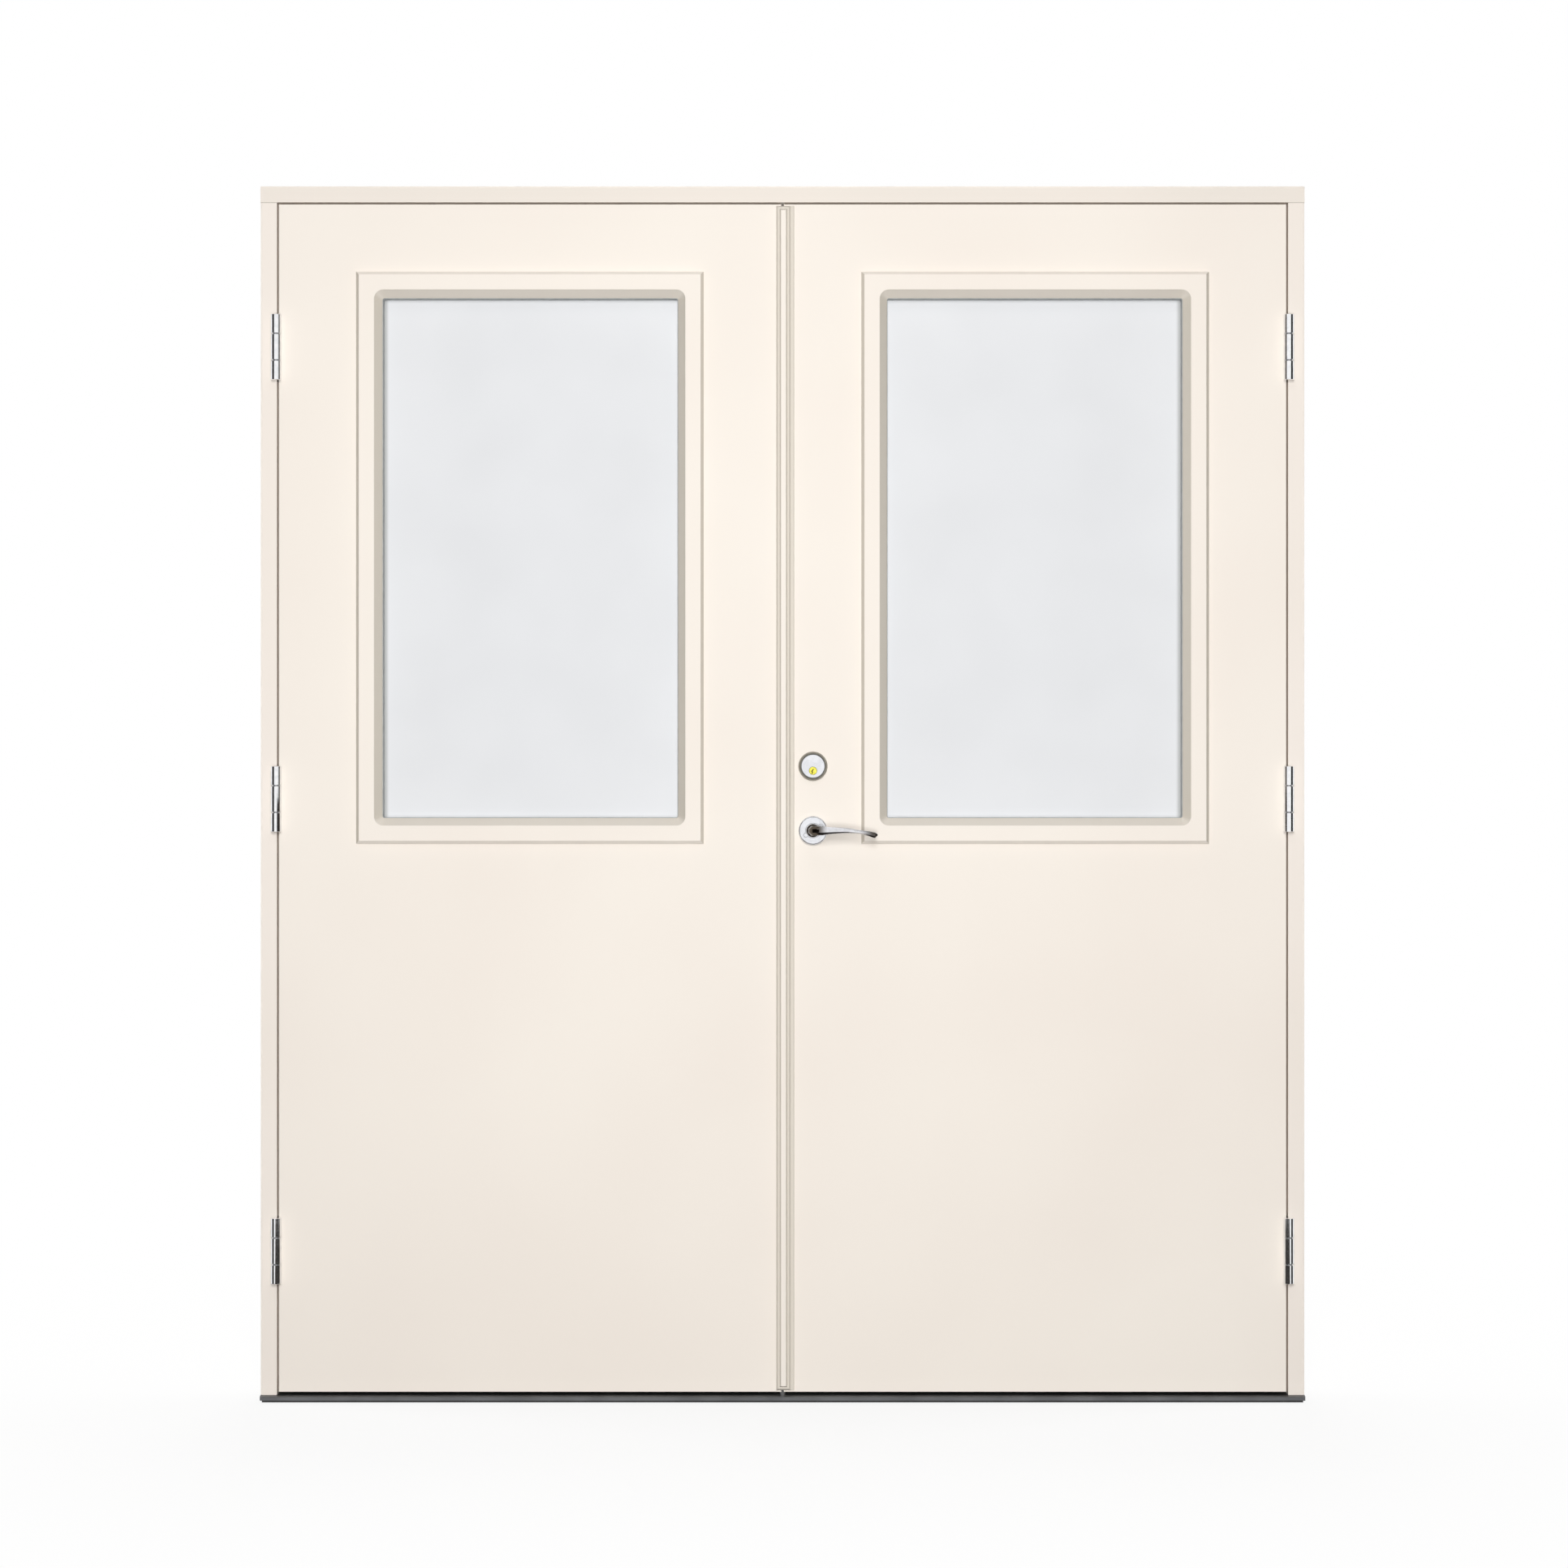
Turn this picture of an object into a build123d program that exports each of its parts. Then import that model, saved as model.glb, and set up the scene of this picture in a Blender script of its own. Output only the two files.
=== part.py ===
from build123d import *
from math import atan2, cos, degrees, pi, sin
import os

# A pair of outward-opening exterior doors in their frame, in millimetres.
# Origin at the middle of the threshold's underside, +Z up, +Y into the building, outside at -Y.

# frame
frame_width = 1785.0
frame_height = 2080.0
frame_depth = 105.0
frame_face = 28.0
rebate_depth = 14.0
outer_chamfer = 2.8
stop_edge_radius = 2.0
fixing_hole_radius = 7.0
fixing_row_y = -12.0
fixing_end_gap = 137.0

# threshold
sill_seat = 13.0
sill_stop_height = 25.0
sill_nose_reach = 10.0
sill_nose_drop = 1.7
sill_nose_cut = 1.5
sill_stop_radius = 3.0
underlay_height = 5.0
underlay_setback = 2.0
pad_width = 19.0
pad_height = 3.0
pad_length = 40.0

# leaves
leaf_thickness = 62.0
leaf_setback = 1.0
side_gap = 3.0
meeting_gap = 4.0
sill_gap = 5.0
stop_gap = 3.0
meeting_bevel = 3.0
leaf_edge_radius = 1.0

# seals between the stops and the leaves
seal_bulb_width = 9.0
sill_bulb_width = 6.0
seal_touch_gap = 0.3
seal_root_width = 3.0
seal_root_depth = 6.0

# glazing
stile_width = 132.75
top_rail_height = 115.8
bottom_rail_height = 937.4
bead_depth = 15.5
reveal_depth = 20.0
glass_cover = 15.0
unit_thickness = 24.0
pane_thickness = 6.0
spacer_width = 12.0
glass_corner_radius = 3.5
bead_slope = 13.0
bead_corner_radius = 16.0
bead_band = 31.0
raised_height = 9.0
raised_bevel = 5.3
raised_base = 3.0
cavity_play = 5.0
skirt_play = 1.0

# hinges
hinge_axis_out = 10.0
hinge_axis_side = 1.1
knuckle_radius = 9.0
hinge_pin_radius = 5.0
hinge_pin_play = 0.05
middle_knuckle = 45.0
outer_knuckle = 33.0
knuckle_gap = 0.5
hinge_plate_thickness = 2.5
hinge_plate_depth = 40.0
hinge_bottom_gap = 243.0
hinge_top_gap = 246.0

# cover strip over the meeting gap
strip_lap = 10.7
strip_width = 30.7
strip_mould_width = 24.6
strip_base = 2.6
strip_base_chamfer = 1.2
strip_shoulder = 6.0
strip_height = 10.0
strip_lap_gap = 1.0
strip_low_bevel = 2.8
strip_high_bevel = 2.4
strip_flat_width = 8.3
strip_end_gap_top = 3.3
strip_end_gap_bottom = 3.6

# lock
backset = 50.0
lever_z = 978.0
cylinder_rise = 110.0
ring_radius = 25.0
ring_thickness = 11.0
ring_crown_radius = 21.8
ring_lip_radius = 20.3
disc_radius = 20.0
disc_sink = 2.0
plug_radius = 6.8
plug_drop = 7.8
plug_proud = 0.6
plug_play = 0.3
rose_radius = 24.5
rose_thickness = 9.0
rose_edge = 2.0
rose_hole_radius = 9.6
turn_thickness = 8.0
turn_radius = 9.0
turn_length = 34.0
turn_width = 9.0
turn_reach = 26.0
lock_bore_radius = 12.0
faceplate_width = 22.0
faceplate_height = 235.0
faceplate_thickness = 3.0
faceplate_rise = 30.0
latch_width = 14.0
latch_height = 32.0
bolt_proud = 1.0
bolt_play = 3.0
strike_pocket_depth = 14.0
flush_bolt_height = 200.0
flush_bolt_inset = 30.0
flush_slot_width = 10.0
flush_slot_height = 60.0
flush_slot_depth = 1.5
keeper_width = 40.0
keeper_depth = 22.0
keeper_thickness = 2.0
keeper_hole_radius = 6.0

# lever handle
spindle_width = 8.0
neck_radius = 8.5
collar_radius = 11.5
collar_length = 10.0
collar_play = 0.3
lever_reach = 52.0
bend_radius = 16.0
bend_steps = 3
spindle_grip = 40.0
lever_length = 109.6
lever_corner = 0.28

# planes and places worked out from the sizes above
half_width = frame_width / 2
front_y = -frame_depth / 2
back_y = frame_depth / 2
rebate_x = half_width - frame_face
stop_x = rebate_x - rebate_depth
head_z = frame_height - frame_face
head_stop_z = head_z - rebate_depth
leaf_front = front_y + leaf_setback
leaf_back = leaf_front + leaf_thickness
stop_y = leaf_back + stop_gap
leaf_outer = rebate_x - side_gap
leaf_inner = meeting_gap / 2
leaf_bottom = sill_seat + sill_gap
leaf_top = head_z - side_gap
leaf_height = leaf_top - leaf_bottom
leaf_centre_x = (leaf_outer + leaf_inner) / 2
raised_width = leaf_outer - leaf_inner - 2 * stile_width
raised_length = leaf_height - top_rail_height - bottom_rail_height
glass_width = raised_width - 2 * (bead_slope + bead_band)
glass_height = raised_length - 2 * (bead_slope + bead_band)
glass_centre_z = leaf_bottom + bottom_rail_height + raised_length / 2
hinge_low = leaf_bottom + hinge_bottom_gap
hinge_high = leaf_top - hinge_top_gap
hinge_heights = {"bottom": hinge_low, "middle": (hinge_low + hinge_high) / 2, "top": hinge_high}
fixing_count = 4
fixing_pitch = (head_z - sill_seat - 2 * fixing_end_gap) / (fixing_count - 1)
hinge_x = rebate_x - side_gap / 2 + hinge_axis_side
hinge_y = front_y - hinge_axis_out
hinge_height = 2 * outer_knuckle + middle_knuckle + 2 * knuckle_gap
raised_front = leaf_front - raised_height
glass_front = raised_front + bead_depth + reveal_depth
glass_back = glass_front + unit_thickness
lock_x = leaf_inner + backset
cylinder_z = lever_z + cylinder_rise
plate_z = lever_z + faceplate_rise
flush_bolt_heights = (
    leaf_bottom + flush_bolt_inset + flush_bolt_height / 2,
    leaf_top - flush_bolt_inset - flush_bolt_height / 2,
)
raised_taper = degrees(atan2(raised_bevel, raised_height - raised_base))
sides = {"left": -1, "right": 1}

os.makedirs("parts", exist_ok=True)


def save(piece, label):
    """Names a finished piece and writes it."""
    piece.part.label = label
    export_step(piece.part, f"parts/{label}.step")


def elevation(y):
    """The upright plane at y, seen from outside: its first axis is X and its second is Z."""
    return Plane.XZ.offset(-y)


def meeting_plane(side, z):
    """The leaning face of a leaf's meeting edge, facing the other leaf; its second axis is Z."""
    middle = (side * (leaf_inner + meeting_bevel / 2), (leaf_front + leaf_back) / 2, z)
    along = Vector(side * meeting_bevel, leaf_thickness, 0)
    facing = Vector(-side * leaf_thickness, meeting_bevel, 0)
    return Plane(origin=middle, x_dir=along * -side, z_dir=facing)


def inside_face(y):
    """The upright plane at y, seen from inside: its first axis is -X and its second is Z."""
    return Plane(origin=(0, y, 0), x_dir=(-1, 0, 0), z_dir=(0, 1, 0))


def keeper_bed(z, into):
    """Sinks the bed of a flush bolt's keeper into the threshold or the head."""
    with Locations((-leaf_inner - keeper_width / 2, (leaf_front + leaf_back) / 2, z)):
        Box(
            keeper_width,
            keeper_depth,
            keeper_thickness,
            align=(Align.CENTER, Align.CENTER, into),
            mode=Mode.SUBTRACT,
        )


# frame: two rebated jambs standing on the threshold under a full-width head
for name, side in sides.items():
    with BuildPart() as jamb:
        with BuildSketch(Plane.XY.offset(sill_seat)):
            with BuildLine():
                Polyline(
                    (side * half_width, front_y + outer_chamfer),
                    (side * (half_width - outer_chamfer), front_y),
                    (side * rebate_x, front_y),
                    (side * rebate_x, stop_y),
                    (side * stop_x, stop_y),
                    (side * stop_x, back_y),
                    (side * half_width, back_y),
                    close=True,
                )
            make_face()
        extrude(amount=head_z - sill_seat)
        stop_edges = (
            jamb.edges()
            .filter_by(Axis.Z)
            .filter_by(lambda e: abs(abs(e.center().X) - stop_x) < side_gap)
        )
        fillet(stop_edges, stop_edge_radius)
        # groove for the seal, along the stop
        with BuildSketch(Plane.XY.offset(sill_seat)):
            with Locations((side * (stop_x + seal_bulb_width / 2), stop_y)):
                Rectangle(seal_root_width, seal_root_depth, align=(Align.CENTER, Align.MIN))
        extrude(amount=head_z - sill_seat, mode=Mode.SUBTRACT)
        # beds for the hinge plates
        for z in hinge_heights.values():
            with Locations((side * rebate_x, front_y, z)):
                Box(
                    hinge_plate_thickness,
                    hinge_plate_depth,
                    hinge_height,
                    align=(Align.MIN if side > 0 else Align.MAX, Align.MIN, Align.CENTER),
                    mode=Mode.SUBTRACT,
                )
        # holes for the frame screws, in a row up the rebate
        with BuildSketch(Plane.YZ.offset(side * half_width)):
            with Locations((fixing_row_y, (sill_seat + head_z) / 2)):
                with GridLocations(0, fixing_pitch, 1, fixing_count):
                    Circle(fixing_hole_radius)
        extrude(amount=-side * (frame_face + rebate_depth), mode=Mode.SUBTRACT)
    save(jamb, f"{name}_jamb")

with BuildPart() as head:
    with BuildSketch(Plane.YZ):
        with BuildLine():
            Polyline(
                (front_y, head_z),
                (front_y, frame_height - outer_chamfer),
                (front_y + outer_chamfer, frame_height),
                (back_y, frame_height),
                (back_y, head_z),
                close=True,
            )
        make_face()
    extrude(amount=half_width, both=True)
    with BuildSketch(Plane.YZ):
        with BuildLine():
            Polyline(
                (stop_y, head_stop_z), (back_y, head_stop_z), (back_y, head_z), (stop_y, head_z), close=True
            )
        make_face()
    extrude(amount=stop_x, both=True)
    with BuildSketch(Plane.YZ):
        with Locations((stop_y, head_stop_z + seal_bulb_width / 2)):
            Rectangle(seal_root_depth, seal_root_width, align=(Align.MIN, Align.CENTER))
    extrude(amount=stop_x, both=True, mode=Mode.SUBTRACT)
    keeper_bed(head_z, Align.MIN)
save(head, "head_jamb")

# threshold: a sloped nose in front, a seat under the jambs and a raised stop between them
with BuildPart() as sill:
    with BuildSketch(Plane.YZ):
        with BuildLine():
            Polyline(
                (front_y - sill_nose_reach, underlay_height),
                (front_y - sill_nose_reach, sill_seat - sill_nose_drop),
                (front_y, sill_seat),
                (back_y, sill_seat),
                (back_y, underlay_height),
                close=True,
            )
        make_face()
    extrude(amount=half_width, both=True)
    nose_corners = sill.edges().filter_by(Axis.Z).group_by(Axis.Y)[0]
    chamfer(nose_corners, sill_nose_cut)
    with BuildSketch(Plane.YZ):
        with BuildLine():
            Polyline(
                (stop_y, sill_seat),
                (stop_y, sill_stop_height),
                (back_y, sill_stop_height),
                (back_y, sill_seat),
                close=True,
            )
        make_face()
    extrude(amount=stop_x, both=True)
    top_rear = sill.edges().filter_by(Axis.X).sort_by(Axis.Z)[-2:].sort_by(Axis.Y)[-1]
    fillet(top_rear, sill_stop_radius)
    with BuildSketch(Plane.YZ):
        with Locations((stop_y, sill_stop_height - sill_bulb_width / 2)):
            Rectangle(seal_root_depth, seal_root_width, align=(Align.MIN, Align.CENTER))
    extrude(amount=stop_x, both=True, mode=Mode.SUBTRACT)
    keeper_bed(sill_seat, Align.MAX)
save(sill, "sill")

with BuildPart() as underlay:
    with BuildSketch():
        Rectangle(frame_width - 2 * underlay_setback, frame_depth - 2 * underlay_setback)
    extrude(amount=underlay_height)
save(underlay, "sill_underlay")

# rubber pads that close the rebate's two bottom corners
with BuildPart() as pads:
    with BuildSketch(Plane.XY.offset(sill_seat)):
        for side in sides.values():
            with Locations((side * (rebate_x - pad_width / 2), stop_y - pad_length / 2)):
                Rectangle(pad_width, pad_length)
    extrude(amount=pad_height)
save(pads, "sill_corner_pads")


def seal_profile(bulb_width):
    """A seal's root in its groove, with the bulb that the leaf closes on; Y runs into the stop."""
    bulb = stop_gap - seal_touch_gap
    Rectangle(seal_root_width, seal_root_depth, align=(Align.CENTER, Align.MIN))
    with Locations((0, -bulb / 2)):
        SlotOverall(bulb_width, bulb)


for name, side in sides.items():
    with BuildPart() as seal:
        origin = (side * (stop_x + seal_bulb_width / 2), stop_y, sill_stop_height)
        with BuildSketch(Plane(origin=origin, x_dir=(1, 0, 0), z_dir=(0, 0, 1))):
            seal_profile(seal_bulb_width)
        extrude(amount=head_z - sill_stop_height)
    save(seal, f"{name}_frame_seal")

for label, z, width in (
    ("head_seal", head_stop_z + seal_bulb_width / 2, seal_bulb_width),
    ("sill_seal", sill_stop_height - sill_bulb_width / 2, sill_bulb_width),
):
    with BuildPart() as seal:
        with BuildSketch(Plane(origin=(0, stop_y, z), x_dir=(0, 0, 1), z_dir=(-1, 0, 0))):
            seal_profile(width)
        extrude(amount=stop_x, both=True)
    save(seal, label)

# leaves: a slab with a glazed upper half, hung on three hinges
for name, side in sides.items():
    centre_x = side * leaf_centre_x
    with BuildPart() as panel:
        with BuildSketch(Plane.XY.offset(leaf_bottom)):
            with BuildLine():
                Polyline(
                    (side * leaf_inner, leaf_front),
                    (side * leaf_outer, leaf_front),
                    (side * leaf_outer, leaf_back),
                    (side * (leaf_inner + meeting_bevel), leaf_back),
                    close=True,
                )
            make_face()
        extrude(amount=leaf_height)
        fillet(panel.faces().sort_by(Axis.Y)[0].edges(), leaf_edge_radius)
        # the glazing hole
        with BuildSketch(elevation(leaf_front)):
            with Locations((centre_x, glass_centre_z)):
                Rectangle(
                    glass_width + 2 * (glass_cover + cavity_play),
                    glass_height + 2 * (glass_cover + cavity_play),
                )
        extrude(amount=-leaf_thickness, mode=Mode.SUBTRACT)
        for z in hinge_heights.values():
            with Locations((side * leaf_outer, leaf_front, z)):
                Box(
                    hinge_plate_thickness,
                    hinge_plate_depth,
                    hinge_height,
                    align=(Align.MAX if side > 0 else Align.MIN, Align.MIN, Align.CENTER),
                    mode=Mode.SUBTRACT,
                )
        if name == "right":
            # bores for the spindle and the cylinder
            with BuildSketch(elevation(leaf_front)):
                with Locations((lock_x, lever_z), (lock_x, cylinder_z)):
                    Circle(lock_bore_radius)
            extrude(amount=-leaf_thickness, mode=Mode.SUBTRACT)
        else:
            # pockets for the bolts and beds for the flush bolts
            with BuildSketch(meeting_plane(side, plate_z)):
                with Locations((0, lever_z - plate_z), (0, cylinder_z - plate_z)):
                    Rectangle(latch_width + 2 * bolt_play, latch_height + 2 * bolt_play)
            extrude(amount=-strike_pocket_depth, mode=Mode.SUBTRACT)
            for z in flush_bolt_heights:
                with BuildSketch(meeting_plane(side, z)):
                    Rectangle(faceplate_width, flush_bolt_height)
                extrude(amount=-faceplate_thickness, mode=Mode.SUBTRACT)
        with BuildSketch(meeting_plane(side, plate_z)):
            Rectangle(faceplate_width, faceplate_height)
        extrude(amount=-faceplate_thickness, mode=Mode.SUBTRACT)
    save(panel, f"{name}_panel")

# glazing frames: a raised band with bevelled edges, a bead that slopes in and a straight reveal
for name, side in sides.items():
    centre_x = side * leaf_centre_x
    for place, face, local_x, skirt_depth in (
        ("outer", elevation(leaf_front), centre_x, glass_front - leaf_front),
        ("inner", inside_face(leaf_back), -centre_x, leaf_back - glass_back),
    ):
        centre = (local_x, glass_centre_z)
        with BuildPart() as glazing_frame:
            with BuildSketch(face):
                with Locations(centre):
                    Rectangle(raised_width, raised_length)
            extrude(amount=raised_base)
            with BuildSketch(face.offset(raised_base)):
                with Locations(centre):
                    Rectangle(raised_width, raised_length)
            extrude(amount=raised_height - raised_base, taper=raised_taper)
            with BuildSketch(face):
                with Locations(centre):
                    Rectangle(
                        glass_width + 2 * (glass_cover + cavity_play - skirt_play),
                        glass_height + 2 * (glass_cover + cavity_play - skirt_play),
                    )
            extrude(amount=-skirt_depth)
            with BuildSketch(face.offset(raised_height)):
                with Locations(centre):
                    RectangleRounded(
                        glass_width + 2 * bead_slope, glass_height + 2 * bead_slope, bead_corner_radius
                    )
            with BuildSketch(face.offset(raised_height - bead_depth)) as reveal:
                with Locations(centre):
                    RectangleRounded(glass_width, glass_height, glass_corner_radius)
            loft(mode=Mode.SUBTRACT)
            # straight reveal between the bead and the glass
            extrude(
                reveal.sketch, amount=-(skirt_depth + raised_height - bead_depth), mode=Mode.SUBTRACT
            )
        save(glazing_frame, f"{name}_{place}_glazing_frame")

    with BuildPart() as unit:
        with BuildSketch(elevation(glass_front)):
            with Locations((centre_x, glass_centre_z)):
                Rectangle(glass_width + 2 * glass_cover, glass_height + 2 * glass_cover)
        extrude(amount=-unit_thickness)
        with BuildSketch(elevation(glass_front + pane_thickness)):
            with Locations((centre_x, glass_centre_z)):
                Rectangle(
                    glass_width + 2 * (glass_cover - spacer_width),
                    glass_height + 2 * (glass_cover - spacer_width),
                )
        extrude(amount=-(unit_thickness - 2 * pane_thickness), mode=Mode.SUBTRACT)
    save(unit, f"{name}_glass_unit")

# hinges: the frame half carries the pin and the outer knuckles, the leaf half the middle one
for name, side in sides.items():
    into_jamb = Align.MIN if side > 0 else Align.MAX
    into_leaf = Align.MAX if side > 0 else Align.MIN
    for place, z in hinge_heights.items():
        with BuildPart() as frame_half:
            for z_way in (-1, 1):
                rise = z_way * (middle_knuckle / 2 + knuckle_gap + outer_knuckle / 2)
                with Locations((side * hinge_x, hinge_y, z + rise)):
                    Cylinder(knuckle_radius, outer_knuckle)
            for z_way in (-1, 1):
                rise = z_way * (middle_knuckle / 2 + knuckle_gap + outer_knuckle / 2)
                with Locations((side * rebate_x, hinge_y, z + rise)):
                    Box(
                        hinge_plate_thickness,
                        hinge_axis_out,
                        outer_knuckle,
                        align=(into_jamb, Align.MIN, Align.CENTER),
                    )
            with Locations((side * rebate_x, front_y, z)):
                Box(
                    hinge_plate_thickness,
                    hinge_plate_depth,
                    hinge_height,
                    align=(into_jamb, Align.MIN, Align.CENTER),
                )
            with Locations((side * hinge_x, hinge_y, z)):
                Cylinder(hinge_pin_radius, middle_knuckle + 2 * knuckle_gap)
        save(frame_half, f"{name}_{place}_hinge_frame_half")

        with BuildPart() as leaf_half:
            with Locations((side * hinge_x, hinge_y, z)):
                Cylinder(knuckle_radius, middle_knuckle)
            with Locations((side * leaf_outer, hinge_y, z)):
                Box(
                    hinge_plate_thickness,
                    leaf_front - hinge_y,
                    middle_knuckle,
                    align=(into_leaf, Align.MIN, Align.CENTER),
                )
            with Locations((side * leaf_outer, leaf_front, z)):
                Box(
                    hinge_plate_thickness,
                    hinge_plate_depth,
                    hinge_height,
                    align=(into_leaf, Align.MIN, Align.CENTER),
                )
            with Locations((side * hinge_x, hinge_y, z)):
                Cylinder(hinge_pin_radius + hinge_pin_play, middle_knuckle, mode=Mode.SUBTRACT)
        save(leaf_half, f"{name}_{place}_hinge_leaf_half")

# cover strip: a stepped moulding on the right leaf that laps the left one
strip_left = -strip_lap
strip_right = strip_left + strip_width
mould_right = strip_left + strip_mould_width
mould_centre = (strip_left + mould_right) / 2
flat_left = mould_centre - strip_flat_width / 2
flat_right = mould_centre + strip_flat_width / 2
strip_bottom_z = leaf_bottom + strip_end_gap_bottom
strip_top_z = leaf_top - strip_end_gap_top
base_y = leaf_front - strip_base
shoulder_y = leaf_front - strip_shoulder
crown_y = leaf_front - strip_height
shoulder_rise = strip_low_bevel
step_rise = flat_left - strip_high_bevel - strip_left
crown_rise = flat_left - strip_left
with BuildPart() as strip:
    with BuildSketch(Plane.XY.offset(strip_bottom_z)):
        with BuildLine():
            Polyline(
                (leaf_inner, leaf_front),
                (leaf_inner, leaf_front - strip_lap_gap),
                (strip_left, leaf_front - strip_lap_gap),
                (strip_left, base_y),
                (strip_left + shoulder_rise, shoulder_y),
                (strip_left + step_rise, shoulder_y),
                (strip_left + crown_rise, crown_y),
                (mould_right - crown_rise, crown_y),
                (mould_right - step_rise, shoulder_y),
                (mould_right - shoulder_rise, shoulder_y),
                (mould_right, base_y),
                (strip_right - strip_base_chamfer, base_y),
                (strip_right, base_y + strip_base_chamfer),
                (strip_right, leaf_front),
                close=True,
            )
        make_face()
    extrude(amount=strip_top_z - strip_bottom_z)
    # the same moulding returns across both ends, mitred at the corners
    with BuildSketch(Plane.YZ):
        with BuildLine():
            Polyline(
                (leaf_front, strip_bottom_z),
                (base_y, strip_bottom_z),
                (shoulder_y, strip_bottom_z + shoulder_rise),
                (shoulder_y, strip_bottom_z + step_rise),
                (crown_y, strip_bottom_z + crown_rise),
                (crown_y, strip_top_z - crown_rise),
                (shoulder_y, strip_top_z - step_rise),
                (shoulder_y, strip_top_z - shoulder_rise),
                (base_y, strip_top_z),
                (leaf_front, strip_top_z),
                close=True,
            )
        make_face()
    extrude(amount=strip_width, both=True, mode=Mode.INTERSECT)
save(strip, "astragal")

# lock: roses, cylinder and thumb turn on the right leaf
lever_axis = Axis((lock_x, 0, lever_z), (0, 1, 0))
cylinder_axis = Axis((lock_x, 0, cylinder_z), (0, 1, 0))
ring_front = leaf_front - ring_thickness
disc_front = ring_front + disc_sink
with BuildPart() as ring:
    with BuildSketch(Plane.YZ.offset(lock_x)):
        with BuildLine():
            Polyline(
                (leaf_front, cylinder_z + ring_lip_radius),
                (leaf_front, cylinder_z + ring_radius),
                (ring_front, cylinder_z + ring_crown_radius),
                (ring_front, cylinder_z + ring_lip_radius),
                close=True,
            )
        make_face()
    revolve(axis=cylinder_axis)
save(ring, "cylinder_ring")

with BuildPart() as cylinder:
    with BuildSketch(elevation(leaf_front)):
        with Locations((lock_x, cylinder_z)):
            Circle(disc_radius)
    extrude(amount=leaf_front - disc_front)
    with BuildSketch(elevation(leaf_front)):
        with Locations((lock_x, cylinder_z)):
            Circle(lock_bore_radius - plug_play)
    extrude(amount=-leaf_thickness)
    with BuildSketch(elevation(disc_front)):
        with Locations((lock_x, cylinder_z - plug_drop)):
            Circle(plug_radius + plug_play)
    extrude(amount=-(leaf_front - disc_front), mode=Mode.SUBTRACT)
save(cylinder, "lock_cylinder")

with BuildPart() as plug:
    with BuildSketch(elevation(leaf_front)):
        with Locations((lock_x, cylinder_z - plug_drop)):
            Circle(plug_radius)
    extrude(amount=leaf_front - disc_front + plug_proud)
save(plug, "cylinder_plug")

for label, face, local_x in (
    ("outer_rose", elevation(leaf_front), lock_x),
    ("inner_rose", inside_face(leaf_back), -lock_x),
):
    with BuildPart() as rose:
        with BuildSketch(face):
            with Locations((local_x, lever_z)):
                Circle(rose_radius)
        extrude(amount=rose_thickness, taper=degrees(atan2(rose_edge, rose_thickness)))
        with BuildSketch(face):
            with Locations((local_x, lever_z)):
                Circle(rose_hole_radius)
        extrude(amount=rose_thickness, mode=Mode.SUBTRACT)
    save(rose, label)

with BuildPart() as turn_rose:
    with BuildSketch(inside_face(leaf_back)):
        with Locations((-lock_x, cylinder_z)):
            Circle(rose_radius)
    extrude(amount=turn_thickness, taper=degrees(atan2(rose_edge, turn_thickness)))
save(turn_rose, "turn_rose")

with BuildPart() as turn:
    with BuildSketch(inside_face(leaf_back + turn_thickness)):
        with Locations((-lock_x, cylinder_z)):
            Circle(turn_radius)
    extrude(amount=turn_reach / 2)
    with BuildSketch(inside_face(leaf_back + turn_thickness + turn_reach / 2)):
        with Locations((-lock_x, cylinder_z)):
            SlotOverall(turn_length, turn_width, rotation=90)
    extrude(amount=turn_reach / 2)
save(turn, "thumb_turn")

with BuildPart() as faceplate:
    with BuildSketch(meeting_plane(1, plate_z)):
        Rectangle(faceplate_width, faceplate_height)
    extrude(amount=-faceplate_thickness)
    with BuildSketch(meeting_plane(1, plate_z)):
        with Locations((0, lever_z - plate_z), (0, cylinder_z - plate_z)):
            Rectangle(latch_width, latch_height)
    extrude(amount=bolt_proud)
save(faceplate, "lock_faceplate")

with BuildPart() as strike:
    with BuildSketch(meeting_plane(-1, plate_z)):
        Rectangle(faceplate_width, faceplate_height)
        with Locations((0, lever_z - plate_z), (0, cylinder_z - plate_z)):
            Rectangle(latch_width + bolt_play, latch_height + 2 * bolt_play, mode=Mode.SUBTRACT)
    extrude(amount=-faceplate_thickness)
save(strike, "strike_plate")

with BuildPart() as flush_bolts:
    for z in flush_bolt_heights:
        with BuildSketch(meeting_plane(-1, z)):
            Rectangle(faceplate_width, flush_bolt_height)
        extrude(amount=-faceplate_thickness)
        with BuildSketch(meeting_plane(-1, z)):
            SlotOverall(flush_slot_height, flush_slot_width, rotation=90)
        extrude(amount=-flush_slot_depth, mode=Mode.SUBTRACT)
save(flush_bolts, "flush_bolts")

with BuildPart() as keepers:
    for z, way in ((sill_seat, -1), (head_z, 1)):
        with BuildSketch(Plane.XY.offset(z)):
            with Locations((-leaf_inner - keeper_width / 2, (leaf_front + leaf_back) / 2)):
                Rectangle(keeper_width, keeper_depth)
                Circle(keeper_hole_radius, mode=Mode.SUBTRACT)
        extrude(amount=way * keeper_thickness)
save(keepers, "bolt_keepers")

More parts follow.
